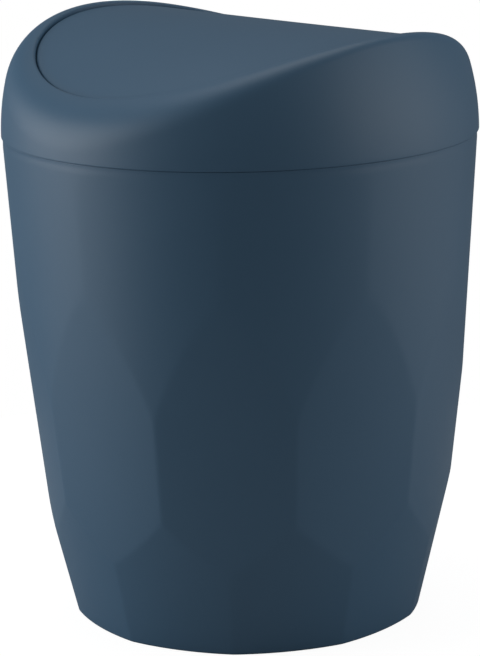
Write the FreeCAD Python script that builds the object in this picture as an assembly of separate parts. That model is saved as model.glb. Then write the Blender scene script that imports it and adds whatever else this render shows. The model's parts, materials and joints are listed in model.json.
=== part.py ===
import FreeCAD, Part
import math
import os

from FreeCAD import Vector

# A round kitchen waste bin in moulded plastic: a faceted bucket, a saddle-topped lid cover and a round
# flap that swings both ways on two short pins.
# Millimetres. The origin is on the floor under the bin's axis, +Z is up, X runs along the flap's pins
# through the two high sides of the saddle, and the saddle falls towards +Y and -Y.

# Bucket
SEAM_HEIGHT = 206.8           # where the cover's lower edge meets the bucket
SEAM_RADIUS = 99.9            # round top edge of the bucket
SIDE_TAPER_SHARE = 0.04       # how fast the round upper band narrows downwards
BUCKET_WALL = 2.0
FLOOR_THICKNESS = 2.4
BASE_RECESS_DEPTH = 2.0
BASE_RING_WIDTH = 8.0         # width of the ring the bin stands on
BASE_EDGE_RADIUS = 1.2
SEAM_EDGE_RADIUS = 0.9
RIM_BAND_DEPTH = 4.0          # thicker band inside the bucket's mouth
RIM_BAND_SLOPE = 3.0
COLLAR_HEIGHT = 6.0           # collar that rises inside the cover
COLLAR_WALL = 1.8
COLLAR_CLEARANCE = 0.4

# Facets: three rows of ten, each row given at two heights by how far its flats lie inside the seam's
# radius. A facet is a shallow arc across, and its bulge says how far behind the axis its centre lies.
FACET_COUNT = 10
FACET_TURN = 4.2              # degrees from -Y to an edge of the upper and lower rows
UPPER_ROW_HEIGHT = 100.8
UPPER_ROW_INSET = 6.9
UPPER_ROW_SEAM_INSET = 0.3
UPPER_ROW_BULGE = 13.0
MIDDLE_ROW_LOW_HEIGHT = 40.8
MIDDLE_ROW_LOW_INSET = 15.6
MIDDLE_ROW_HIGH_HEIGHT = 150.8
MIDDLE_ROW_HIGH_INSET = 3.3
MIDDLE_ROW_BULGE = 64.0
LOWER_ROW_HEIGHT = 60.8
LOWER_ROW_INSET = 11.3
LOWER_ROW_BASE_INSET = 25.8
LOWER_ROW_BULGE = 27.0

# Lid cover
COVER_OVERHANG = 0.3          # how far the cover stands out past the bucket at the seam
LID_HEIGHT = 44.5             # crest of the saddle above the seam, on the axis
COVER_WALL = 2.0
COVER_SEAM_GAP = 0.5          # shadow gap between the cover's lower edge and the bucket
WALL_LEAN = 10.0              # how far the curved wall has come in at the crest's height
SADDLE_FALL = 29.1            # fall of the saddle from its crest to the wall at the low ends
SADDLE_RISE = 2.8             # rise of the saddle from its middle to the wall at the high sides
SHOULDER_RADIUS = 4.0         # leaves a little of the saddle beside the opening at the high sides
RIM_WIDTH = 15.6              # from the cover's widest line in to the opening
FLANGE_WALL = 1.6
FLANGE_DEPTH = 5.6
EDGE_RADIUS = 0.7             # small rounding at the opening and the flap
COVER_FOOT_RADIUS = 0.6       # rounding of the cover's lower edge

# Swing flap
FLAP_GAP = 1.2                # ring gap between the flap and the opening
FLAP_SINK = 1.2               # how far the flap's top lies below the cover's
FLAP_WALL = 2.0
FLAP_SKIRT_DEPTH = 3.0
FLAP_SKIRT_WALL = 1.6
EAR_THICKNESS = 3.3
EAR_RADIUS = 4.6              # rounded lower end of an ear, about the pin

# Pivots
PIN_RADIUS = 2.5
PIN_DEPTH = 6.8               # pin axis below the cover's top at the opening's edge
PIN_HEAD_RADIUS = 3.0
PIN_HEAD_THICKNESS = 1.2
PIN_POINT = 0.5               # chamfer at the pin's outer end
PIN_HOLD_CLEARANCE = 0.02
PIN_RUN_CLEARANCE = 0.08
BORE_DEPTH = 3.0              # blind bore in the cover's boss
BORE_END_GAP = 0.4
BOSS_WALL = 0.7               # material behind the blind bore
BOSS_WIDTH = 12.0
BOSS_DROP = 4.8               # boss below the pin axis
BOSS_INSET = 1.2              # boss top below the saddle, inside the skin

OVERRUN = 10.0                # how far cutters and blanks run past what they cut
TOUCH = 1e-4                  # nearer than this counts as the same place

X_AXIS = Vector(1, 0, 0)
Y_AXIS = Vector(0, 1, 0)
Z_AXIS = Vector(0, 0, 1)
ORIGIN = Vector(0, 0, 0)

FACET_STEP = 360.0 / FACET_COUNT
COVER_RADIUS = SEAM_RADIUS + COVER_OVERHANG
OPENING_RADIUS = COVER_RADIUS - RIM_WIDTH
FLAP_RADIUS = OPENING_RADIUS - FLAP_GAP
REACH = COVER_RADIUS + OVERRUN


def arc_through(half_width, depth):
    """Radius of the arc that is this deep at this half width."""
    return (half_width ** 2 + depth ** 2) / (2 * depth)


CREST_HEIGHT = SEAM_HEIGHT + LID_HEIGHT
COVER_WALL_ARC = arc_through(LID_HEIGHT, WALL_LEAN)
CREST_ARC = arc_through(COVER_RADIUS, SADDLE_FALL)
SADDLE_ARC = arc_through(COVER_RADIUS, SADDLE_RISE)
SADDLE_CENTRE = CREST_HEIGHT + SADDLE_ARC
CREST_CENTRE = CREST_HEIGHT - CREST_ARC
COLLAR_RADIUS = COVER_RADIUS - COVER_WALL - COLLAR_CLEARANCE
COVER_FOOT = SEAM_HEIGHT + COVER_SEAM_GAP
LID_TOP = CREST_HEIGHT + OVERRUN
BORE_END = OPENING_RADIUS + BORE_DEPTH
EAR_OUTER = FLAP_RADIUS - FLAP_SKIRT_WALL / 2
EAR_INNER = EAR_OUTER - EAR_THICKNESS


def saddle_height(x, y):
    """Height of the saddle: an arc across the pins, carried along a hollow arc between them."""
    fall = CREST_ARC - math.sqrt(CREST_ARC ** 2 - y ** 2)
    return SADDLE_CENTRE - math.sqrt((SADDLE_ARC + fall) ** 2 - x ** 2)


PIN_HEIGHT = saddle_height(OPENING_RADIUS, 0) - PIN_DEPTH


def line_value(height, low, high):
    """Read a straight line through two (height, value) pairs at a height."""
    share = (height - low[0]) / (high[0] - low[0])
    return low[1] + (high[1] - low[1]) * share


def at_angle(radius, degrees, height):
    """Point at a radius, turned from -Y towards +X."""
    turn = math.radians(degrees)
    return Vector(radius * math.sin(turn), -radius * math.cos(turn), height)


def facet_ring(apothem, bulge, height, first_edge):
    """Closed wire of shallow arcs: a ring of equal, slightly swollen sides."""
    half = math.radians(FACET_STEP / 2)
    corner = math.sqrt((apothem + bulge) ** 2 - (bulge * math.sin(half)) ** 2) - bulge * math.cos(half)
    arcs = []
    for index in range(FACET_COUNT):
        turn = first_edge + index * FACET_STEP
        start = at_angle(corner, turn, height)
        middle = at_angle(apothem, turn + FACET_STEP / 2, height)
        end = at_angle(corner, turn + FACET_STEP, height)
        arcs.append(Part.Arc(start, middle, end).toShape())
    return Part.Wire(arcs)


def facet_row(low, high, bulge, first_edge, wall, bottom, top):
    """Many-sided frustum through two (height, inset) pairs, from bottom to top, moved in by the wall."""
    rings = []
    for height in (bottom, top):
        apothem = SEAM_RADIUS - line_value(height, low, high) - wall
        rings.append(facet_ring(apothem, bulge, height, first_edge))
    return Part.makeLoft(rings, True, True)


def rows(wall, bottom, top):
    """The upper, middle and lower facet rows as three frustums."""
    upper = facet_row((UPPER_ROW_HEIGHT, UPPER_ROW_INSET), (SEAM_HEIGHT, UPPER_ROW_SEAM_INSET),
                      UPPER_ROW_BULGE, FACET_TURN, wall, bottom, top)
    middle = facet_row((MIDDLE_ROW_LOW_HEIGHT, MIDDLE_ROW_LOW_INSET),
                       (MIDDLE_ROW_HIGH_HEIGHT, MIDDLE_ROW_HIGH_INSET),
                       MIDDLE_ROW_BULGE, FACET_TURN + FACET_STEP / 2, wall, bottom, top)
    lower = facet_row((0, LOWER_ROW_BASE_INSET), (LOWER_ROW_HEIGHT, LOWER_ROW_INSET),
                      LOWER_ROW_BULGE, FACET_TURN, wall, bottom, top)
    return upper, middle, lower


def spun(points):
    """Solid of revolution about Z from an outline of (radius, height) pairs."""
    corners = [Vector(radius, 0, height) for radius, height in points]
    face = Part.Face(Part.makePolygon(corners + corners[:1]))
    return face.revolve(ORIGIN, Z_AXIS, 360)


def round_band(wall, bottom, top):
    """The round upper body that the facets are cut into, moved in by the wall."""
    def radius(height):
        return SEAM_RADIUS - SIDE_TAPER_SHARE * (SEAM_HEIGHT - height) - wall
    return spun([(0, bottom), (radius(bottom), bottom), (radius(top), top), (0, top)])


def edges_at_height(shape, height):
    """Edges that lie flat at one height."""
    found = []
    for edge in shape.Edges:
        box = edge.BoundBox
        if abs(box.ZMin - height) < TOUCH and abs(box.ZMax - height) < TOUCH:
            found.append(edge)
    return found


def make_bucket():
    """Faceted bucket: one wall with a floor, a recessed underside and a collar for the cover."""
    upper, middle, lower = rows(0, 0, SEAM_HEIGHT)
    lower = lower.makeFillet(BASE_EDGE_RADIUS, edges_at_height(lower, 0))
    outer = round_band(0, 0, SEAM_HEIGHT)
    outer = outer.makeFillet(SEAM_EDGE_RADIUS, edges_at_height(outer, SEAM_HEIGHT))
    for row in (upper, middle, lower):
        outer = outer.common(row)
    band_foot = SEAM_HEIGHT - RIM_BAND_DEPTH
    collar = Part.makeCylinder(COLLAR_RADIUS, RIM_BAND_DEPTH + COLLAR_HEIGHT, Vector(0, 0, band_foot))
    body = outer.fuse(collar)
    floor = BASE_RECESS_DEPTH + FLOOR_THICKNESS
    above = SEAM_HEIGHT + COLLAR_HEIGHT + OVERRUN
    cavity = round_band(BUCKET_WALL, floor, above)
    for row in rows(BUCKET_WALL, floor, above):
        cavity = cavity.common(row)
    mouth = COLLAR_RADIUS - COLLAR_WALL
    slope_foot = band_foot - RIM_BAND_SLOPE
    throat = spun([(0, 0), (REACH, 0), (REACH, slope_foot), (mouth + RIM_BAND_SLOPE, slope_foot),
                   (mouth, band_foot), (mouth, above), (0, above)])
    body = body.cut(cavity.common(throat))
    ring_inner = SEAM_RADIUS - LOWER_ROW_BASE_INSET - BASE_RING_WIDTH
    return body.cut(Part.makeCylinder(ring_inner, BASE_RECESS_DEPTH))


def under_saddle(drop, bottom):
    """Everything under the saddle surface, lowered by drop, down to bottom."""
    arc_radius = CREST_ARC - drop
    side = CREST_CENTRE + math.sqrt(arc_radius ** 2 - REACH ** 2)
    left = Vector(0, -REACH, side)
    right = Vector(0, REACH, side)
    crest = Part.Arc(left, Vector(0, 0, CREST_CENTRE + arc_radius), right).toShape()
    foot = Part.makePolygon([right, Vector(0, REACH, bottom), Vector(0, -REACH, bottom), left])
    profile = Part.Face(Part.Wire([crest] + foot.Edges))
    spread = math.degrees(math.asin(REACH / SADDLE_ARC))
    pole = Vector(0, 0, SADDLE_CENTRE)
    profile.rotate(pole, Y_AXIS, -spread)
    return profile.revolve(pole, Y_AXIS, 2 * spread)


def wall_radius(height, wall):
    """Distance of the cover's curved wall from the axis at a height, moved in by the wall."""
    arc_radius = COVER_WALL_ARC - wall
    return COVER_RADIUS - COVER_WALL_ARC + math.sqrt(arc_radius ** 2 - (height - SEAM_HEIGHT) ** 2)


def dome(wall, bottom):
    """Round block with the cover's upright curve, moved in by the wall, taller than the saddle."""
    def on_wall(height):
        return Vector(wall_radius(height, wall), 0, height)
    side = Part.Arc(on_wall(bottom), on_wall((bottom + LID_TOP) / 2), on_wall(LID_TOP)).toShape()
    rest = Part.makePolygon([on_wall(LID_TOP), Vector(0, 0, LID_TOP), Vector(0, 0, bottom), on_wall(bottom)])
    return Part.Face(Part.Wire([side] + rest.Edges)).revolve(ORIGIN, Z_AXIS, 360)


def shoulder_room():
    """Largest shoulder rounding that stays clear of the opening's edge at the high sides."""
    height = saddle_height(COVER_RADIUS, 0)
    flat = wall_radius(height, 0) - OPENING_RADIUS - EDGE_RADIUS
    lean = math.asin((height - SEAM_HEIGHT) / COVER_WALL_ARC)
    return flat * math.tan((math.pi / 2 + lean) / 2)


def edges_above(shape, height):
    """Long edges that lie wholly above a height."""
    return [edge for edge in shape.Edges if edge.BoundBox.ZMin > height + TOUCH and edge.Length > OVERRUN]


def top_rim(shape, radius, drop, wall):
    """Edges around a shape at one distance from the axis, within half a wall of the lowered saddle."""
    found = []
    for edge in shape.Edges:
        middle = edge.valueAt((edge.FirstParameter + edge.LastParameter) / 2)
        off_circle = abs(math.hypot(middle.x, middle.y) - radius)
        off_saddle = abs(middle.z + drop - saddle_height(middle.x, middle.y))
        if off_circle < TOUCH and off_saddle < wall / 2 and edge.Length > wall:
            found.append(edge)
    return found


def side_block(inner, outer, width, bottom, top, side):
    """Box across the pin axis on the +X or -X side, from inner to outer distance."""
    block = Part.makeBox(outer - inner, width, top - bottom, Vector(inner, -width / 2, bottom))
    if side < 0:
        block = block.mirror(ORIGIN, X_AXIS)
    return block


def side_cylinder(radius, inner, outer, side):
    """Cylinder on the pin axis, from inner to outer distance on one side."""
    return Part.makeCylinder(radius, outer - inner, Vector(side * inner, 0, PIN_HEIGHT), Vector(side, 0, 0))


def round_post(radius):
    """Upright cylinder from the seam to above the lid."""
    return Part.makeCylinder(radius, LID_TOP - SEAM_HEIGHT, Vector(0, 0, SEAM_HEIGHT))


def make_cover():
    """Lid cover: curved wall, saddle top, round opening with a turned-down flange and two pin bosses."""
    below = SEAM_HEIGHT - OVERRUN
    outer = dome(0, COVER_FOOT).common(under_saddle(0, below))
    outer = outer.makeFillet(min(SHOULDER_RADIUS, shoulder_room()), edges_above(outer, COVER_FOOT))
    outer = outer.makeFillet(COVER_FOOT_RADIUS, edges_at_height(outer, COVER_FOOT))
    inner = dome(COVER_WALL, below).common(under_saddle(COVER_WALL, below - OVERRUN))
    shell = outer.cut(inner)
    flange = round_post(OPENING_RADIUS + FLANGE_WALL).common(under_saddle(COVER_WALL / 2, below))
    flange = flange.cut(under_saddle(FLANGE_DEPTH, below))
    for side in (1, -1):
        boss = side_block(OPENING_RADIUS - OVERRUN, BORE_END + BOSS_WALL, BOSS_WIDTH, PIN_HEIGHT - BOSS_DROP,
                          PIN_HEIGHT + PIN_DEPTH - BOSS_INSET, side)
        flange = flange.fuse(boss)
    cover = shell.fuse(flange.common(outer)).cut(round_post(OPENING_RADIUS))
    cover = cover.makeFillet(EDGE_RADIUS, top_rim(cover, OPENING_RADIUS, 0, COVER_WALL))
    for side in (1, -1):
        cover = cover.cut(side_cylinder(PIN_RADIUS + PIN_RUN_CLEARANCE, FLAP_RADIUS, BORE_END, side))
    return cover


def ear_block(side):
    """Ear of the flap: straight sides with a rounded lower end about the pin."""
    top = PIN_HEIGHT + PIN_DEPTH - FLAP_SINK - FLAP_WALL / 2

    def corner(width, height):
        return Vector(side * EAR_INNER, width, height)
    left, right = corner(-EAR_RADIUS, PIN_HEIGHT), corner(EAR_RADIUS, PIN_HEIGHT)
    round_end = Part.Arc(left, corner(0, PIN_HEIGHT - EAR_RADIUS), right).toShape()
    rest = Part.makePolygon([right, corner(EAR_RADIUS, top), corner(-EAR_RADIUS, top), left])
    return Part.Face(Part.Wire([round_end] + rest.Edges)).extrude(Vector(side * EAR_THICKNESS, 0, 0))


def make_flap():
    """Round flap: saddle top a little below the cover's, a short skirt and two ears for the pins."""
    below = SEAM_HEIGHT - OVERRUN
    blank = round_post(FLAP_RADIUS).common(under_saddle(FLAP_SINK, below))
    blank = blank.cut(under_saddle(FLAP_SINK + FLAP_SKIRT_DEPTH, below))
    blank = blank.makeFillet(EDGE_RADIUS, top_rim(blank, FLAP_RADIUS, FLAP_SINK, FLAP_WALL))
    hollow = round_post(FLAP_RADIUS - FLAP_SKIRT_WALL).common(under_saddle(FLAP_SINK + FLAP_WALL, below))
    flap = blank.cut(hollow)
    for side in (1, -1):
        flap = flap.fuse(ear_block(side))
        hole = side_cylinder(PIN_RADIUS + PIN_HOLD_CLEARANCE, EAR_INNER - PIN_HEAD_THICKNESS,
                             OPENING_RADIUS, side)
        flap = flap.cut(hole)
    return flap


def make_pin(side):
    """Headed pivot pin, pushed outwards through an ear into the cover's blind bore."""
    tip = BORE_END - BORE_END_GAP
    shank = side_cylinder(PIN_RADIUS, EAR_INNER, tip, side)
    ends = [edge for edge in shank.Edges if abs(edge.BoundBox.Center.x - side * tip) < TOUCH]
    shank = shank.makeChamfer(PIN_POINT, ends)
    head = side_cylinder(PIN_HEAD_RADIUS, EAR_INNER - PIN_HEAD_THICKNESS, EAR_INNER, side)
    return shank.fuse(head).removeSplitter()


def save(name, shape):
    """Write one node and print what it is."""
    solid = shape.Solids[0] if len(shape.Solids) == 1 else shape
    print(name, "solids", len(shape.Solids), "valid", shape.isValid(), "volume", round(shape.Volume))
    solid.exportStep(os.path.join("parts", name + ".step"))


os.makedirs("parts", exist_ok=True)
save("bucket", make_bucket())
save("lid_cover", make_cover())
save("swing_flap", make_flap())
save("pivot_pin_right", make_pin(1))
save("pivot_pin_left", make_pin(-1))
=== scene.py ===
# %% [markdown]
# # A swing-lid waste bin, dressed around its CAD frame
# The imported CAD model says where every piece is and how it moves. This script gives the pieces their
# looks: three mouldings are rebuilt as smooth surfaces worked out with numpy, the two pivot pins keep
# their CAD meshes, and all of them get procedural plastics. Lights, a floor and the photo's camera
# follow at the end.

# %% Load the frame
import json

import bpy
import numpy as np
from mathutils import Matrix, Vector


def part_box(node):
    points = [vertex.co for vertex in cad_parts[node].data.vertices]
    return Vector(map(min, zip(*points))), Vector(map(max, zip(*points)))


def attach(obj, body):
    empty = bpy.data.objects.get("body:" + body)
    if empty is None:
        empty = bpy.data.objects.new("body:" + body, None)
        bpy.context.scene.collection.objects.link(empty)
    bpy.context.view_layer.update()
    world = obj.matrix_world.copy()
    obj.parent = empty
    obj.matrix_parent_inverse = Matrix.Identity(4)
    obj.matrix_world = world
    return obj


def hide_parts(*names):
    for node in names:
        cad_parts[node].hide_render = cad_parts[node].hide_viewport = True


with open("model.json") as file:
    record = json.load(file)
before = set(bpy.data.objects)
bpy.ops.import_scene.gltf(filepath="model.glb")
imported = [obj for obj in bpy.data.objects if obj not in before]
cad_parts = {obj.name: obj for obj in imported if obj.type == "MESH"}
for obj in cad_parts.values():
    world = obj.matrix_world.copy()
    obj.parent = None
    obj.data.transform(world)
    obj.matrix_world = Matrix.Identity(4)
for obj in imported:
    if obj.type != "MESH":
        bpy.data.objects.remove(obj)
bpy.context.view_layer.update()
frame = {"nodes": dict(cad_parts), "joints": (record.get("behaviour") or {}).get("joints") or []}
print("CAD nodes:", sorted(frame["nodes"]))

# %% [markdown]
# ## Sizes
# Blender works in metres, and a moulding is easier to read in millimetres, so every length below is a
# number of millimetres times MM. Two places are read from the frame, so that the mouldings meet the
# CAD pieces: the seam lies a collar below the top of the bucket's box, and the pin axis is the flap's
# hinge. The cover's half width is printed, to compare with the radius set for it below.

# %% Sizes from the frame
MM = 0.001
COLLAR_HEIGHT = 6.0 * MM          # the collar goes up from the seam into the lid

_, bucket_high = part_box("bucket")
_, cover_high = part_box("lid_cover")
hinge = next(joint for joint in frame["joints"] if joint["name"] == "flap_swing")
SEAM_HEIGHT = bucket_high.z - COLLAR_HEIGHT
PIN_HEIGHT = hinge["pos_m"][2]
print(f"seam {SEAM_HEIGHT:.4f}, pin axis {PIN_HEIGHT:.4f}, cover half width {cover_high.x:.4f}")

# %% Bucket sizes
SEAM_RADIUS = 99.9 * MM
SIDE_TAPER_SHARE = 0.04           # how fast the round band narrows downwards
BUCKET_WALL = 2.0 * MM
FLOOR_TOP = 4.4 * MM
FLOOR_CORNER = 3.0 * MM           # rounding between the floor and the wall inside
BASE_RECESS_DEPTH = 2.0 * MM
BASE_RING_WIDTH = 8.0 * MM
BASE_RING_EDGE = 0.4 * MM
BASE_EDGE_RADIUS = 1.2 * MM
SEAM_EDGE_RADIUS = 0.4 * MM
NECK_DEPTH = 0.16 * MM            # the wall draws in a little just under the seam
NECK_HEIGHT = 4.5 * MM
RIM_BAND_DEPTH = 4.0 * MM
RIM_BAND_SLOPE = 3.0 * MM
COLLAR_WALL = 1.8 * MM
COLLAR_CLEARANCE = 0.4 * MM
COLLAR_EDGE = 0.4 * MM
GATE_RADIUS = 4.0 * MM            # round dimple of the moulding gate under the floor
GATE_DEPTH = 0.5 * MM
GATE_FLAT_SHARES = (0.4, 0.8)     # where the dimple's flat middle has rows, in shares of its radius

FACET_COUNT = 10
FACET_STEP = 2 * np.pi / FACET_COUNT
FACET_TURN = np.radians(4.2)      # from -Y to an edge of the upper and lower rows
FACET_SOFTNESS = 0.14 * MM        # how near two facets come before their edge starts to round

# %% Lid sizes
COVER_RADIUS = 100.2 * MM
COVER_WALL = 2.0 * MM
COVER_SEAM_GAP = 0.08 * MM        # the cover sits down on the bucket: only a hairline shows
COVER_FOOT_RADIUS = 0.35 * MM
LID_HEIGHT = 44.8 * MM
WALL_LEAN = 10.0 * MM
SADDLE_FALL = 29.0 * MM
SADDLE_RISE = 2.8 * MM
HIGH_SHOULDER = (2.6 * MM, 3.0 * MM)    # how much of the top and of the side the rounding takes
LOW_SHOULDER = (11.5 * MM, 12.0 * MM)   # the same at the low ends, where it is broad and soft
RIM_WIDTH = 15.6 * MM
RIM_EDGE = 1.2 * MM               # rounding of the opening's edge and of the flap's
FLANGE_WALL = 1.6 * MM
FLANGE_DEPTH = 5.6 * MM
FLAP_GAP = 0.35 * MM
SKIRT_DRAFT = 0.83 * MM           # the skirt's foot stands this much further in than the flap's edge
SIDE_SINK = 1.7 * MM              # the flap's edge lies this far below the cover at the high sides
END_SINK = 1.4 * MM               # and this far at the low ends, while its middle is level
FLAP_WALL = 2.0 * MM
FLAP_SKIRT_DEPTH = 3.0 * MM
FLAP_SKIRT_WALL = 1.6 * MM

CREST_HEIGHT = SEAM_HEIGHT + LID_HEIGHT
OPENING_RADIUS = COVER_RADIUS - RIM_WIDTH
FLAP_RADIUS = OPENING_RADIUS - FLAP_GAP
SKIRT_RADIUS = FLAP_RADIUS - SKIRT_DRAFT
COLLAR_RADIUS = COVER_RADIUS - COVER_WALL - COLLAR_CLEARANCE

# %% Pivot sizes
PIN_BORE = 2.58 * MM              # radius of the bores in the cover's bosses
PIN_HOLE = 2.52 * MM              # radius of the holes in the flap's ears
PIN_NOTCH = 2.7 * MM              # radius of the notches round the pins in the skirt's foot
EAR_THICKNESS = 3.3 * MM
EAR_RADIUS = 4.6 * MM
EAR_RISE = 4.6 * MM               # top of an ear above the pin axis, inside the flap's skin
BORE_DEPTH = 3.0 * MM
BOSS_WALL = 0.7 * MM
BOSS_WIDTH = 12.0 * MM
BOSS_DROP = 4.8 * MM
BOSS_RISE = 5.6 * MM              # top of a boss above the pin axis, inside the cover's skin
BOSS_PROUD = 0.02 * MM            # the boss's face stands this far out of the flange

# %% [markdown]
# ## One way to build every moulding
# Each moulding is a grid: rows run along its section, columns run round its axis. A section is written
# as short stretches (a wall, a rounding, a ledge), each giving the radius and height of a few rows for
# all columns at once. Stacking the stretches gives the whole skin, and the faces follow from the grid.
# Walked in the right order, up the outside and down the inside, every face points outwards.

# %% Grid helpers
def around(columns, first=0.0):
    """Angles of the columns, in equal steps once round from the first, turned from -Y towards +X."""
    return first + np.arange(columns) * 2 * np.pi / columns


def stretch(radius, height, columns):
    """Rows of a section: radius and height as arrays that fit (rows, columns)."""
    radius, height = np.atleast_2d(radius), np.atleast_2d(height)
    rows = max(radius.shape[0], height.shape[0])
    return np.broadcast_to(radius, (rows, columns)), np.broadcast_to(height, (rows, columns))


def ring_points(stretches, angles):
    """Points at radius times (sin angle, -cos angle) and height, as an array (rows, columns, 3)."""
    radius = np.vstack([piece[0] for piece in stretches])
    height = np.vstack([piece[1] for piece in stretches])
    return np.stack([radius * np.sin(angles), -radius * np.cos(angles), height], axis=2)


def grid_faces(rows, columns, closed_section):
    """Quads between neighbouring rows and columns. The columns wrap round, and the rows do so only if
    the section closes on itself."""
    last = rows if closed_section else rows - 1
    row, column = np.meshgrid(np.arange(last), np.arange(columns), indexing="ij")
    above, beside = (row + 1) % rows, (column + 1) % columns
    corners = [row * columns + column, row * columns + beside,
               above * columns + beside, above * columns + column]
    return np.stack(corners, axis=2).reshape(-1, 4)


def fan_faces(start, columns, pole, first):
    """Triangles that close a row of points onto a pole, facing as the first or the last row does."""
    column = np.arange(columns)
    beside = (column + 1) % columns
    ends = (start + beside, start + column) if first else (start + column, start + beside)
    return np.stack([*ends, np.full(columns, pole)], axis=1)


# %% Mesh helpers
SHARP_EDGE = 35.0                 # degrees: edges that turn by more than this stay crisp


def skin(points, closed_section=False):
    """Vertices and faces of one skin. An open section is closed by a pole at each end."""
    rows, columns, _ = points.shape
    vertices = points.reshape(-1, 3)
    faces = grid_faces(rows, columns, closed_section).tolist()
    if not closed_section:
        count = len(vertices)
        vertices = np.vstack([vertices, points[0].mean(axis=0), points[-1].mean(axis=0)])
        faces += fan_faces(0, columns, count, True).tolist()
        faces += fan_faces((rows - 1) * columns, columns, count + 1, False).tolist()
    return vertices, faces


def add_object(name, data):
    """A new object in the scene, left at the origin."""
    item = bpy.data.objects.new(name, data)
    bpy.context.scene.collection.objects.link(item)
    return item


def make_piece(name, skins):
    """One mesh object from one or more skins, smooth but for its sharp edges."""
    vertices, faces, start = [], [], 0
    for skin_vertices, skin_faces in skins:
        vertices.append(skin_vertices)
        faces += [[start + corner for corner in face] for face in skin_faces]
        start += len(skin_vertices)
    mesh = bpy.data.meshes.new(name)
    mesh.from_pydata(np.vstack(vertices).tolist(), [], faces)
    mesh.polygons.foreach_set("use_smooth", np.ones(len(faces), bool))
    mesh.set_sharp_from_angle(angle=np.radians(SHARP_EDGE))
    mesh.update()
    triangles = sum(len(face) - 2 for face in faces)
    print(f"{name}: {start} vertices, {triangles} triangles")
    return add_object(name, mesh)


# %% Formula helpers
QUARTER = np.linspace(0, np.pi / 2, 7)[:, None]     # angles of the rows round a quarter of a circle
ROW_GAP = 1.0 * MM                # from the end of a rounding to the row beside it


def smooth_min(first, second, reach):
    """The smaller of two values. Where they differ by less than reach, a parabola rounds the corner:
    smaller - reach near^2 / 4, where near goes from 0 at the reach to 1 where they are equal."""
    near = np.clip(1 - np.abs(first - second) / reach, 0, 1)
    return np.minimum(first, second) - reach * near ** 2 / 4


def between(value, low, high):
    """Read a straight line through two (place, value) pairs."""
    return low[1] + (high[1] - low[1]) * (value - low[0]) / (high[0] - low[0])


def steps(low, high, count):
    """A column of rows in equal steps from low to high."""
    return np.linspace(low, high, count)[:, None]


# %% [markdown]
# ## The faceted bucket
# The real bucket starts round at the seam and turns into rows of flats on its way down. A modeller
# could cut the flats with planes, but then their edges need bevels by hand. Here the wall's radius is a
# formula instead: the smallest of a round band and three rings of ten flats, with the corners between
# them rounded off. One formula gives the outside, and less the wall's thickness it gives the inside.
#
# A row of flats is written as how far its flats stand in from the seam at a low and a high place, each
# as (height, distance in), then its bulge and the part of a facet that the row is turned by.

# %% Facet formula
UPPER_ROW = ((100.8 * MM, 6.9 * MM), (SEAM_HEIGHT, 0.3 * MM), 13.0 * MM, 0.0)
MIDDLE_ROW = ((40.8 * MM, 15.6 * MM), (150.8 * MM, 3.3 * MM), 64.0 * MM, 0.5)
LOWER_ROW = ((0.0, 25.8 * MM), (60.8 * MM, 11.3 * MM), 27.0 * MM, 0.0)


def row_radius(angles, height, row):
    """Distance to a ring of swollen flats. A flat is an arc whose centre lies a bulge behind the axis:
    radius = root((flat + bulge)^2 - (bulge sin turn)^2) - bulge cos turn, for the turn from the flat's
    middle. Each place takes the smaller of its own flat and the next."""
    low, high, bulge, shift_share = row
    flat = SEAM_RADIUS - between(height, low, high)
    turn = np.mod(angles - FACET_TURN - shift_share * FACET_STEP, FACET_STEP) - FACET_STEP / 2

    def arc(from_middle):
        along, across = bulge * np.cos(from_middle), bulge * np.sin(from_middle)
        return np.sqrt((flat + bulge) ** 2 - across ** 2) - along
    return smooth_min(arc(np.abs(turn)), arc(FACET_STEP - np.abs(turn)), FACET_SOFTNESS)


def bucket_radius(angles, height):
    """Outer radius of the bucket: the smallest of the round band and the three rows, corners rounded,
    less a shallow neck under the seam: depth sin(pi root(share))^2, for the share of the way down."""
    radius = SEAM_RADIUS - SIDE_TAPER_SHARE * (SEAM_HEIGHT - height)
    for row in (UPPER_ROW, LOWER_ROW, MIDDLE_ROW):
        radius = smooth_min(radius, row_radius(angles, height, row), FACET_SOFTNESS)
    below = np.clip((SEAM_HEIGHT - height) / NECK_HEIGHT, 0, 1)
    return radius - NECK_DEPTH * np.sin(np.pi * np.sqrt(below)) ** 2


print(f"bucket radius {bucket_radius(FACET_TURN, SEAM_HEIGHT):.4f} at the seam, and at the base "
      f"{bucket_radius(FACET_TURN, 0.0):.4f} at an edge and "
      f"{bucket_radius(FACET_TURN + FACET_STEP / 2, 0.0):.4f} on a flat")

# %% Bucket section
BUCKET_COLUMNS = 520
FACETS_LOW = 26.0 * MM            # the slanting facet edges lie between these heights
FACETS_HIGH = 168.0 * MM
FOOT_ROWS, FACET_ROWS, BAND_ROWS, NECK_ROWS = 9, 106, 6, 10     # of the outside, from below
INSIDE_ROWS, FLOOR_ROWS = 24, 6
FLOOR_MIDDLE_SHARE = 0.1          # the floor's innermost row, in shares of the floor's radius


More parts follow.
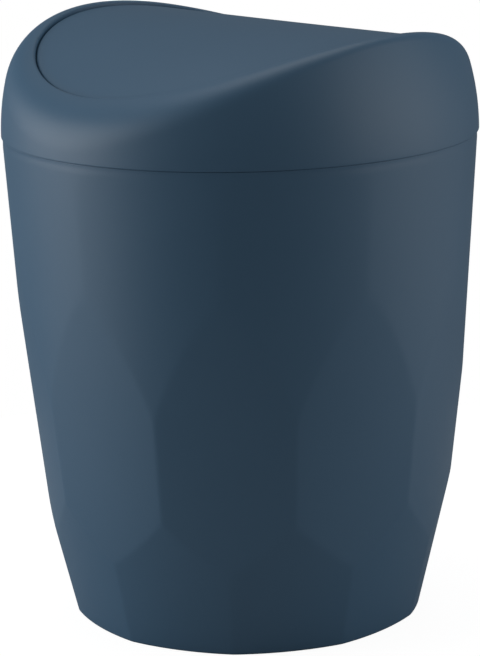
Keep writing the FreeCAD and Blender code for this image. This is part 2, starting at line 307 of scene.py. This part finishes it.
def bucket_outside(angles):
    """Base ring, rounded base edge, faceted wall and rounded seam edge, walked upwards."""
    ring_outer = bucket_radius(angles, 0.0) - BASE_EDGE_RADIUS
    base_height = BASE_EDGE_RADIUS * (1 - np.cos(QUARTER))
    base_radius = bucket_radius(angles, base_height) - BASE_EDGE_RADIUS * (1 - np.sin(QUARTER))
    neck_foot = SEAM_HEIGHT - NECK_HEIGHT
    wall = np.vstack([steps(BASE_EDGE_RADIUS + ROW_GAP, FACETS_LOW, FOOT_ROWS),
                      steps(FACETS_LOW, FACETS_HIGH, FACET_ROWS)[1:],
                      steps(FACETS_HIGH, neck_foot, BAND_ROWS)[1:],
                      steps(neck_foot, SEAM_HEIGHT - SEAM_EDGE_RADIUS, NECK_ROWS)[1:]])
    seam_height = SEAM_HEIGHT - SEAM_EDGE_RADIUS * (1 - np.sin(QUARTER[1:]))
    seam_radius = bucket_radius(angles, seam_height) - SEAM_EDGE_RADIUS * (1 - np.cos(QUARTER[1:]))
    count = len(angles)
    return [stretch(ring_outer - ROW_GAP, 0.0, count), stretch(base_radius, base_height, count),
            stretch(bucket_radius(angles, wall), wall, count), stretch(seam_radius, seam_height, count)]


def bucket_inside(angles):
    """Collar, thick rim band, inner wall, rounded corner and floor, walked downwards."""
    count = len(angles)
    collar_top, band_foot = SEAM_HEIGHT + COLLAR_HEIGHT, SEAM_HEIGHT - RIM_BAND_DEPTH
    mouth = COLLAR_RADIUS - COLLAR_WALL
    slope_foot = band_foot - RIM_BAND_SLOPE
    wall = steps(slope_foot, FLOOR_TOP + FLOOR_CORNER, INSIDE_ROWS)
    inner = bucket_radius(angles, wall) - BUCKET_WALL
    bend_height = FLOOR_TOP + FLOOR_CORNER * (1 - np.sin(QUARTER[1:]))
    bend = bucket_radius(angles, bend_height) - BUCKET_WALL - FLOOR_CORNER * (1 - np.cos(QUARTER[1:]))
    floor = steps(1.0, FLOOR_MIDDLE_SHARE, FLOOR_ROWS)[1:] * bend[-1]
    edges = [(COLLAR_RADIUS, SEAM_HEIGHT), (COLLAR_RADIUS, collar_top - COLLAR_EDGE),
             (COLLAR_RADIUS - COLLAR_EDGE, collar_top), (mouth + COLLAR_EDGE, collar_top),
             (mouth, collar_top - COLLAR_EDGE), (mouth, band_foot)]
    edges += [(inner, wall), (bend, bend_height), (floor, FLOOR_TOP)]
    return [stretch(radius, height, count) for radius, height in edges]


def bucket_underside(angles):
    """Gate dimple, recessed floor and the inner side of the base ring, walked outwards."""
    (_, base_inset), *_ = LOWER_ROW
    ring_inner = SEAM_RADIUS - base_inset - BASE_RING_WIDTH
    recess = BASE_RECESS_DEPTH
    places = [(GATE_RADIUS * share, recess + GATE_DEPTH) for share in GATE_FLAT_SHARES]
    places += [(GATE_RADIUS, recess), (ring_inner / 2, recess), (ring_inner - BASE_EDGE_RADIUS, recess),
               (ring_inner, recess - BASE_EDGE_RADIUS), (ring_inner, BASE_RING_EDGE),
               (ring_inner + BASE_RING_EDGE, 0.0)]
    return [stretch(radius, height, len(angles)) for radius, height in places]


# %% Bucket
bucket_angles = around(BUCKET_COLUMNS, FACET_TURN)
bucket_section = (bucket_underside(bucket_angles) + bucket_outside(bucket_angles)
                  + bucket_inside(bucket_angles))
bucket = make_piece("bucket_moulding", [skin(ring_points(bucket_section, bucket_angles))])
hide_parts("bucket")
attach(bucket, "bucket")

# %% [markdown]
# ## The saddle
# The cover and the flap share one top surface. Across the pins it is an arc that falls to both ends,
# and along the pins it is carried on a wide hollow arc, so the two high sides stand up a little. The
# same formula gives the height of the cover's top, of the flap and, lowered, of their undersides.

# %% Saddle formula
def arc_through(half_width, depth):
    """Radius of the arc that is this deep at this half width."""
    return (half_width ** 2 + depth ** 2) / (2 * depth)


CREST_ARC = arc_through(COVER_RADIUS, SADDLE_FALL)
SADDLE_ARC = arc_through(COVER_RADIUS, SADDLE_RISE)
COVER_WALL_ARC = arc_through(LID_HEIGHT, WALL_LEAN)


def saddle(radius, angles, drop=0.0):
    """Height of the saddle, moved down by drop along its own normal, at a radius and an angle:
    fall = arc - root(arc^2 - y^2), then height = centre - root((hollow arc + fall)^2 - x^2)."""
    x, y = radius * np.sin(angles), radius * np.cos(angles)
    fall = CREST_ARC - np.sqrt((CREST_ARC - drop) ** 2 - y ** 2)
    return CREST_HEIGHT + SADDLE_ARC - np.sqrt((SADDLE_ARC + fall) ** 2 - x ** 2)


def cover_wall(height, wall=0.0):
    """Radius of the cover's curved side at a height, moved in by the wall."""
    arc = COVER_WALL_ARC - wall
    return COVER_RADIUS - COVER_WALL_ARC + np.sqrt(arc ** 2 - (height - SEAM_HEIGHT) ** 2)


print(f"saddle: crest {CREST_HEIGHT:.4f}, high sides {saddle(COVER_RADIUS, np.pi / 2):.4f}, "
      f"low ends {saddle(COVER_RADIUS, 0.0):.4f}")

# %% [markdown]
# ## The shoulder
# Where the top meets the side, the real lid is rounded, tightly at the high sides and as a broad soft
# cheek at the low ends. A bevel modifier can't change its width round the rim, so the rounding is a
# curve worked out in each column's section: a quadratic Bezier that leaves the side, bends towards the
# corner and lands on the top, taking as much of each as the two leg lengths say.

# %% Shoulder formula
SLOPE_STEP = 0.01 * MM
CORNER_ROUNDS = 8                 # each round finds the corner of the side and the top more closely


def slope_of(value_at, place):
    """Slope of a function of the radius or the height, from its values just beside the place."""
    return (value_at(place + SLOPE_STEP) - value_at(place - SLOPE_STEP)) / (2 * SLOPE_STEP)


def shoulder(angles):
    """The shoulder's three Bezier points in each section, from the side to the top, as (radius,
    height). The ends lie on the side and on the top, a leg away from the corner, and the middle point
    is where the tangents through the ends cross. The legs' mix of low and high goes by cos(angle)^2."""
    low_share = np.cos(angles) ** 2
    top_leg, side_leg = (high + (low - high) * low_share
                         for high, low in zip(HIGH_SHOULDER, LOW_SHOULDER))
    corner_height = saddle(COVER_RADIUS, angles)
    for _ in range(CORNER_ROUNDS):
        corner = cover_wall(corner_height)
        corner_height = saddle(corner, angles)
    top_radius, side_height = corner - top_leg, corner_height - side_leg
    top_height, side_radius = saddle(top_radius, angles), cover_wall(side_height)
    fall = slope_of(lambda radius: saddle(radius, angles), top_radius)
    lean = slope_of(cover_wall, side_height)
    reach = (side_radius - top_radius + lean * (top_height - side_height)) / (1 - lean * fall)
    middle = (top_radius + reach, top_height + reach * fall)
    return (side_radius, side_height), middle, (top_radius, top_height)


def shoulder_curve(angles, depth, share):
    """Points of the shoulder's curve at shares of the way up, moved in by a depth along its normal:
    point = start (1 - share)^2 + 2 middle share (1 - share) + end share^2."""
    points = shoulder(angles)
    radius, height = (points[0][axis] * (1 - share) ** 2 + 2 * points[1][axis] * share * (1 - share)
                      + points[2][axis] * share ** 2 for axis in (0, 1))
    along, upward = ((points[1][axis] - points[0][axis]) * (1 - share)
                     + (points[2][axis] - points[1][axis]) * share for axis in (0, 1))
    length = np.hypot(along, upward)
    return radius - depth * upward / length, height + depth * along / length


# %% Cover section
LID_COLUMNS = 720
SHOULDER_ROWS, SIDE_ROWS, RIM_ROWS = 21, 22, 14            # of the cover's outside
BEND_ROWS, CEILING_ROWS, INNER_SIDE_ROWS = 12, 9, 12       # and of its inside


def above_hole(height, angles, radius, hole):
    """Height of an edge, raised where a circle about the pin axis cuts it away: across is the distance
    from the axis, radius times cos(angle), and the circle's top is axis + root(hole^2 - across^2)."""
    across = radius * np.cos(angles)
    top = PIN_HEIGHT + np.sqrt(np.clip(hole ** 2 - across ** 2, 0, None))
    return np.where(np.abs(across) < hole, np.maximum(height, top), height)


def cover_outside(angles):
    """Rounded foot, curved side, shoulder, rim and rounded edge of the opening, walked upwards."""
    count = len(angles)
    foot = SEAM_HEIGHT + COVER_SEAM_GAP
    foot_height = foot + COVER_FOOT_RADIUS * (1 - np.cos(QUARTER))
    foot_radius = cover_wall(foot_height) - COVER_FOOT_RADIUS * (1 - np.sin(QUARTER))
    bend_radius, bend_height = shoulder_curve(angles, 0.0, steps(0, 1, SHOULDER_ROWS))
    side = foot_height[-1] + (bend_height[0] - foot_height[-1]) * steps(0, 1, SIDE_ROWS)[1:-1]
    inner = OPENING_RADIUS + RIM_EDGE
    rim = bend_radius[-1] + (inner - bend_radius[-1]) * steps(0, 1, RIM_ROWS)[1:]
    edge_radius = OPENING_RADIUS + RIM_EDGE * (1 - np.sin(QUARTER[1:]))
    edge_height = saddle(inner, angles) - RIM_EDGE * (1 - np.cos(QUARTER[1:]))
    return [stretch(foot_radius, foot_height, count), stretch(cover_wall(side), side, count),
            stretch(bend_radius, bend_height, count), stretch(rim, saddle(rim, angles), count),
            stretch(edge_radius, edge_height, count)]


def cover_inside(angles):
    """Flange round the opening, underside of the rim and inner side, walked downwards. The bores cut
    both edges of the flange's foot in the same columns."""
    count = len(angles)
    flange_outer = OPENING_RADIUS + FLANGE_WALL
    inner_foot, outer_foot = (
        above_hole(saddle(radius, angles, FLANGE_DEPTH), angles, OPENING_RADIUS, PIN_BORE)
        for radius in (OPENING_RADIUS, flange_outer))
    bend_radius, bend_height = shoulder_curve(angles, COVER_WALL, steps(1, 0, BEND_ROWS))
    ceiling = flange_outer + (bend_radius[0] - flange_outer) * steps(0, 1, CEILING_ROWS)[:-1]
    foot = SEAM_HEIGHT + COVER_SEAM_GAP
    side = bend_height[-1] + (foot - bend_height[-1]) * steps(0, 1, INNER_SIDE_ROWS)[1:]
    return [stretch(OPENING_RADIUS, inner_foot, count), stretch(flange_outer, outer_foot, count),
            stretch(ceiling, saddle(ceiling, angles, COVER_WALL), count),
            stretch(bend_radius, bend_height, count),
            stretch(cover_wall(side, COVER_WALL), side, count)]


# %% [markdown]
# ## Bosses and ears
# Under the high sides two small blocks carry the pins: a boss in the cover with a blind bore, and an
# ear on the flap with a through hole. Each is a grid too, laid about the pin axis: one row follows the
# block's outline and the next the hole's circle, with as many points in each.

# %% Block formula
BLOCK_COLUMNS = 96
block_turn = around(BLOCK_COLUMNS)


def block_outline(half_width, drop, rise, round_low):
    """Outline of a block about the pin axis, as (across, up): each ray is cut where it meets the
    nearest side. A rounded lower end is a half circle instead of the lower side and its corners."""
    across, up = np.sin(block_turn), -np.cos(block_turn)
    small = 1e-9                  # keeps a ray along a side from a division by nothing
    reach = np.minimum(half_width / np.maximum(np.abs(across), small),
                       np.where(up > 0, rise, drop) / np.maximum(np.abs(up), small))
    if round_low:
        reach = np.where(up < 0, half_width, reach)
    return reach * across, reach * up


def block_points(rows, side):
    """Points about the pin axis from rows of (distance along it, across, up), on the +X or -X side."""
    along = np.vstack([np.broadcast_to(row[0], (BLOCK_COLUMNS,)) for row in rows])
    across = side * np.vstack([row[1] for row in rows])
    up = np.vstack([row[2] for row in rows])
    return np.stack([side * along, across, PIN_HEIGHT + up], axis=2)


def circle(radius):
    """Circle about the pin axis, as (across, up)."""
    return radius * np.sin(block_turn), -radius * np.cos(block_turn)


def boss_skin(side):
    """Boss with a blind bore: closed outer end, outline, face on the opening's curve, bore and its
    end."""
    outline = block_outline(BOSS_WIDTH / 2, BOSS_DROP, BOSS_RISE, False)
    bore = circle(PIN_BORE)
    face = OPENING_RADIUS - BOSS_PROUD
    bore_end = OPENING_RADIUS + BORE_DEPTH
    rows = [(bore_end + BOSS_WALL, *outline), (np.sqrt(face ** 2 - outline[0] ** 2), *outline),
            (np.sqrt(face ** 2 - bore[0] ** 2), *bore), (bore_end, *bore)]
    return skin(block_points(rows, side))


def ear_skin(side):
    """Ear with a through hole: outline and hole's circle, each at both ends, closed in a loop."""
    outline = block_outline(EAR_RADIUS, EAR_RADIUS, EAR_RISE, True)
    hole = circle(PIN_HOLE)
    outer = SKIRT_RADIUS - FLAP_SKIRT_WALL / 2
    inner = outer - EAR_THICKNESS
    rows = [(outer, *outline), (inner, *outline), (inner, *hole), (outer, *hole)]
    return skin(block_points(rows, side), closed_section=True)


# %% Cover
lid_angles = around(LID_COLUMNS)
cover_section = cover_outside(lid_angles) + cover_inside(lid_angles)
cover_skin = skin(ring_points(cover_section, lid_angles), closed_section=True)
cover = make_piece("lid_cover_moulding", [cover_skin, boss_skin(1), boss_skin(-1)])
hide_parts("lid_cover")
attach(cover, "cover")

# %% [markdown]
# ## The swing flap
# The flap is the same saddle cut to a disc, with a short skirt that stiffens it. The real flap is level
# with the cover in its middle and lies a little deeper towards its edge, so its height is the saddle's
# less a sink that grows outwards. The gap round it is the dark line that shows in the photo. It is
# narrow at the top only: the skirt is drafted, with its foot further in than the flap's edge, and that
# leaves the flap room to swing.

# %% Flap section
UNDERSIDE_ROWS, TOP_ROWS = 20, 40
UNDERSIDE_MIDDLE_SHARE = 0.05     # the innermost rows, in shares of the radius that the rows reach
TOP_MIDDLE_SHARE = 0.02


def flap_height(radius, angles, depth=0.0):
    """Height of the flap: the saddle less a sink that grows with the square of the distance from the
    middle, sink = side sink x^2 + end sink y^2 in flap radii, and moved down by a depth."""
    x_share, y_share = radius * np.sin(angles) / FLAP_RADIUS, radius * np.cos(angles) / FLAP_RADIUS
    return saddle(radius, angles, depth) - SIDE_SINK * x_share ** 2 - END_SINK * y_share ** 2


def skirt_foot(radius, angles):
    """Height of the skirt's foot at a radius, cut round the pins."""
    return above_hole(flap_height(radius, angles, FLAP_SKIRT_DEPTH), angles, radius, PIN_NOTCH)


def flap_section(angles):
    """Underside, skirt and top of the flap, from the underside's middle to the top's middle."""
    count = len(angles)
    skirt_inner = SKIRT_RADIUS - FLAP_SKIRT_WALL
    below = skirt_inner * steps(UNDERSIDE_MIDDLE_SHARE, 1, UNDERSIDE_ROWS)
    flat = FLAP_RADIUS - RIM_EDGE
    edge_radius = FLAP_RADIUS - RIM_EDGE * (1 - np.cos(QUARTER))
    edge_height = flap_height(flat, angles) - RIM_EDGE * (1 - np.sin(QUARTER))
    above = flat * steps(1, TOP_MIDDLE_SHARE, TOP_ROWS)[1:]
    return [stretch(below, flap_height(below, angles, FLAP_WALL), count),
            stretch(skirt_inner, skirt_foot(skirt_inner, angles), count),
            stretch(SKIRT_RADIUS, skirt_foot(SKIRT_RADIUS, angles), count),
            stretch(edge_radius, edge_height, count), stretch(above, flap_height(above, angles), count)]


# %% Flap
flap_skin = skin(ring_points(flap_section(lid_angles), lid_angles))
flap = make_piece("swing_flap_moulding", [flap_skin, ear_skin(1), ear_skin(-1)])
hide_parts("swing_flap")
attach(flap, "flap")

# %% [markdown]
# ## Moulded plastic
# All mouldings are the same satin plastic. Close up it has the very fine grain of an etched mould, and
# over a hand's width its tone and gloss drift a little, as thick and thin places cool at their own
# pace. A node group holds both effects once, and each material places it with its own values.

# %% Finish group
DRIFT_DETAIL, GRAIN_DETAIL = 2.0, 3.0


def finish_group():
    """Node group: a colour that drifts between two tones, a roughness that drifts, and a fine grain."""
    group = bpy.data.node_groups.new("moulded_finish", "ShaderNodeTree")
    for name, kind in (("Tone A", "NodeSocketColor"), ("Tone B", "NodeSocketColor"),
                       ("Smooth", "NodeSocketFloat"), ("Rough", "NodeSocketFloat"),
                       ("Grain", "NodeSocketFloat"), ("Drift", "NodeSocketFloat")):
        group.interface.new_socket(name, in_out="INPUT", socket_type=kind)
    for name, kind in (("Colour", "NodeSocketColor"), ("Roughness", "NodeSocketFloat"),
                       ("Height", "NodeSocketFloat")):
        group.interface.new_socket(name, in_out="OUTPUT", socket_type=kind)
    nodes, links = group.nodes, group.links
    inputs, outputs = nodes.new("NodeGroupInput"), nodes.new("NodeGroupOutput")
    place = nodes.new("ShaderNodeTexCoord")
    drift, grain = nodes.new("ShaderNodeTexNoise"), nodes.new("ShaderNodeTexNoise")
    for noise, scale, detail in ((drift, "Drift", DRIFT_DETAIL), (grain, "Grain", GRAIN_DETAIL)):
        noise.inputs["Detail"].default_value = detail
        links.new(place.outputs["Object"], noise.inputs["Vector"])
        links.new(inputs.outputs[scale], noise.inputs["Scale"])
    tone = nodes.new("ShaderNodeMix")
    tone.data_type = "RGBA"
    links.new(drift.outputs["Fac"], tone.inputs["Factor"])
    links.new(inputs.outputs["Tone A"], tone.inputs["A"])
    links.new(inputs.outputs["Tone B"], tone.inputs["B"])
    gloss = nodes.new("ShaderNodeMapRange")
    links.new(drift.outputs["Fac"], gloss.inputs["Value"])
    links.new(inputs.outputs["Smooth"], gloss.inputs["To Min"])
    links.new(inputs.outputs["Rough"], gloss.inputs["To Max"])
    links.new(tone.outputs["Result"], outputs.inputs["Colour"])
    links.new(gloss.outputs["Result"], outputs.inputs["Roughness"])
    links.new(grain.outputs["Fac"], outputs.inputs["Height"])
    return group


finish = finish_group()
print("finish group:", [node.bl_idname for node in finish.nodes])


# %% Plastic materials
PLASTIC_IOR = 1.49
DRIFT_SCALE = 22.0                # drifts over about 45 mm
SLATE_TONES = ((0.039, 0.100, 0.172), (0.043, 0.106, 0.181))
PIN_TONES = ((0.045, 0.055, 0.065), (0.055, 0.065, 0.075))
MOULD_GRAIN = (0.35 * MM, 0.006 * MM)     # width and depth
PIN_GRAIN = (0.5 * MM, 0.004 * MM)


def plastic(name, tones, roughness, grain):
    """Satin plastic: the group's colour and roughness, and its grain as a shallow bump. The tones and
    the roughness are pairs to drift between, and the grain is its width and depth."""
    material = bpy.data.materials.new(name)
    material.use_nodes = True
    nodes, links = material.node_tree.nodes, material.node_tree.links
    shader = nodes["Principled BSDF"]
    shader.inputs["IOR"].default_value = PLASTIC_IOR
    effect = nodes.new("ShaderNodeGroup")
    effect.node_tree = finish
    grain_width, grain_depth = grain
    for socket, value in (("Tone A", (*tones[0], 1)), ("Tone B", (*tones[1], 1)),
                          ("Smooth", roughness[0]), ("Rough", roughness[1]),
                          ("Grain", 1 / grain_width), ("Drift", DRIFT_SCALE)):
        effect.inputs[socket].default_value = value
    bump = nodes.new("ShaderNodeBump")
    bump.inputs["Distance"].default_value = grain_depth
    bump.inputs["Strength"].default_value = 1.0
    links.new(effect.outputs["Colour"], shader.inputs["Base Color"])
    links.new(effect.outputs["Roughness"], shader.inputs["Roughness"])
    links.new(effect.outputs["Height"], bump.inputs["Height"])
    links.new(bump.outputs["Normal"], shader.inputs["Normal"])
    return material


bucket_plastic = plastic("slate_bucket_plastic", SLATE_TONES, (0.44, 0.52), MOULD_GRAIN)
lid_plastic = plastic("slate_lid_plastic", SLATE_TONES, (0.46, 0.54), MOULD_GRAIN)
pin_plastic = plastic("dark_pin_plastic", PIN_TONES, (0.34, 0.42), PIN_GRAIN)

bucket.data.materials.append(bucket_plastic)
cover.data.materials.append(lid_plastic)
flap.data.materials.append(lid_plastic)
for name in ("pivot_pin_left", "pivot_pin_right"):
    slots = frame["nodes"][name].data.materials
    slots.clear()
    slots.append(pin_plastic)
print("plastics:", [material.name for material in (bucket_plastic, lid_plastic, pin_plastic)])

# %% [markdown]
# ## The camera
# The photograph was taken from a little above, with a long lens. The camera stands on the side where
# the saddle's low end points left and one high side points right. Its distance, its height and its
# angles were fitted to the ellipses of the seam and the base in the photo.

# %% Camera
CAMERA_TURN = np.radians(45.5)    # from -Y towards +X
CAMERA_DISTANCE = 1185.98 * MM
CAMERA_HEIGHT = 408.16 * MM
CAMERA_PITCH = 0.2378             # radians below the horizon
CAMERA_YAW = -0.0014
CAMERA_ROLL = -0.0199
FOCAL_PIXELS = 2854.33            # focal length in pixels of the photo's 480 by 656 frame
PHOTO_HEIGHT = 656
SENSOR = 36.0

turned = Matrix.Rotation(CAMERA_TURN, 3, "Z")
forward = Vector((np.sin(CAMERA_YAW) * np.cos(CAMERA_PITCH), np.cos(CAMERA_YAW) * np.cos(CAMERA_PITCH),
                  -np.sin(CAMERA_PITCH)))
level = Vector((np.cos(CAMERA_YAW), -np.sin(CAMERA_YAW), 0))
upward = level.cross(forward)
right = turned @ (level * np.cos(CAMERA_ROLL) + upward * np.sin(CAMERA_ROLL))
up = turned @ (upward * np.cos(CAMERA_ROLL) - level * np.sin(CAMERA_ROLL))
back = turned @ -forward

camera = add_object("camera", bpy.data.cameras.new("camera"))
camera.data.sensor_fit = "VERTICAL"
camera.data.sensor_height = SENSOR
camera.data.lens = FOCAL_PIXELS * SENSOR / PHOTO_HEIGHT
camera.matrix_world = Matrix.LocRotScale(
    turned @ Vector((0, -CAMERA_DISTANCE, CAMERA_HEIGHT)),
    Matrix((right, up, back)).transposed().to_quaternion(), None)
bpy.context.scene.camera = camera
print(f"camera lens {camera.data.lens:.1f} mm at", [round(value, 3) for value in camera.location])

# %% [markdown]
# ## Light and floor
# The photo has large soft boxes left and right of the bin, another above it, and nothing in front, so
# the bin's near side falls dark between its lit sides. Two weak boxes stand lower still, because the
# facets near the base look down. The bin stands on a small round table top, so that those two reach
# past its edge.
#
# The background is plain white, and yet it lights nothing: a Light Path node shows the white to the
# camera alone, and every other ray meets a quiet world and a grey floor. The floor gives the camera a
# share of its lit and shaded grey too, and that is the bin's soft shadow.

# %% Lights
BIN_MIDDLE = Vector((0, 0, 130 * MM))
BOX_DISTANCE, BOX_WIDTH, BOX_HEIGHT = 1000 * MM, 950 * MM, 800 * MM
SOFT_BOXES = {                    # degrees round from the camera's side, degrees up, and watts
    "left": (-88, 15, 6.7), "left_low": (-80, -8, 1.4),
    "right": (74, 15, 3.5), "right_low": (100, -8, 0.9),
    "top": (180, 80, 3.85)}


def soft_box(name, side_degrees, height_degrees, power):
    """Area light aimed at the bin. Side 0 is the camera's side and 90 is right of the view."""
    turn = CAMERA_TURN + np.radians(side_degrees)
    rise = np.radians(height_degrees)
    aim = Vector((np.sin(turn) * np.cos(rise), -np.cos(turn) * np.cos(rise), np.sin(rise)))
    light = bpy.data.lights.new(name, "AREA")
    light.shape, light.size, light.size_y = "RECTANGLE", BOX_WIDTH, BOX_HEIGHT
    light.energy = power
    box = add_object(name, light)
    box.location = BIN_MIDDLE + aim * BOX_DISTANCE
    box.rotation_euler = aim.to_track_quat("Z", "Y").to_euler()


for name, values in SOFT_BOXES.items():
    soft_box(f"soft_box_{name}", *values)
print("soft boxes:", list(SOFT_BOXES))


# %% White for the camera alone
WHITE = (1, 1, 1, 1)


def white_to_camera(tree, quiet, white, output, white_share):
    """Mix two shaders into an output: camera rays see the white one by its share and the quiet one by
    the rest, and all other rays meet the quiet one."""
    path, share, pick = (tree.nodes.new(kind) for kind in (
        "ShaderNodeLightPath", "ShaderNodeMath", "ShaderNodeMixShader"))
    share.operation = "MULTIPLY"
    share.inputs[1].default_value = white_share
    for start, end in ((path.outputs["Is Camera Ray"], share.inputs[0]),
                       (share.outputs["Value"], pick.inputs["Fac"]),
                       (quiet.outputs[0], pick.inputs[1]), (white.outputs[0], pick.inputs[2]),
                       (pick.outputs["Shader"], output.inputs["Surface"])):
        tree.links.new(start, end)


# %% World
WORLD_LEVEL = 0.15

world = bpy.data.worlds.new("studio")
bpy.context.scene.world = world
world.use_nodes = True
nodes = world.node_tree.nodes
quiet, white = nodes["Background"], nodes.new("ShaderNodeBackground")
for background, strength in ((quiet, WORLD_LEVEL), (white, 1.0)):
    background.inputs["Color"].default_value = WHITE
    background.inputs["Strength"].default_value = strength
white_to_camera(world.node_tree, quiet, white, nodes["World Output"], 1.0)
print("world:", [node.bl_idname for node in nodes])

# %% Floor
FLOOR_RADIUS = 330 * MM
FLOOR_COLUMNS = 96
FLOOR_DROP = 0.05 * MM            # just under the base ring, so that their faces don't lie in one plane
FLOOR_GREY = (0.5, 0.5, 0.5, 1)
SHADOW_SHARE = 0.3                # how much of the lit and shaded grey the camera sees
FLOOR_GLOW = 1.34                 # brings the mix of glow and lit grey to 1, which is white

rim_points = ring_points([stretch(FLOOR_RADIUS, -FLOOR_DROP, FLOOR_COLUMNS)], around(FLOOR_COLUMNS))[0]
floor_mesh = bpy.data.meshes.new("floor")
floor_mesh.from_pydata(rim_points.tolist(), [], [list(range(FLOOR_COLUMNS))])
floor = add_object("floor", floor_mesh)

floor_finish = bpy.data.materials.new("pale_floor")
floor_finish.use_nodes = True
nodes = floor_finish.node_tree.nodes
nodes.remove(nodes["Principled BSDF"])
grey, glow = nodes.new("ShaderNodeBsdfDiffuse"), nodes.new("ShaderNodeEmission")
grey.inputs["Color"].default_value = FLOOR_GREY
glow.inputs["Color"].default_value = WHITE
glow.inputs["Strength"].default_value = FLOOR_GLOW
white_to_camera(floor_finish.node_tree, grey, glow, nodes["Material Output"], 1 - SHADOW_SHARE)
floor.data.materials.append(floor_finish)
print(f"floor: a table top {2 * FLOOR_RADIUS:.2f} m across")

# %% Finish
bpy.context.scene.view_settings.view_transform = "Standard"
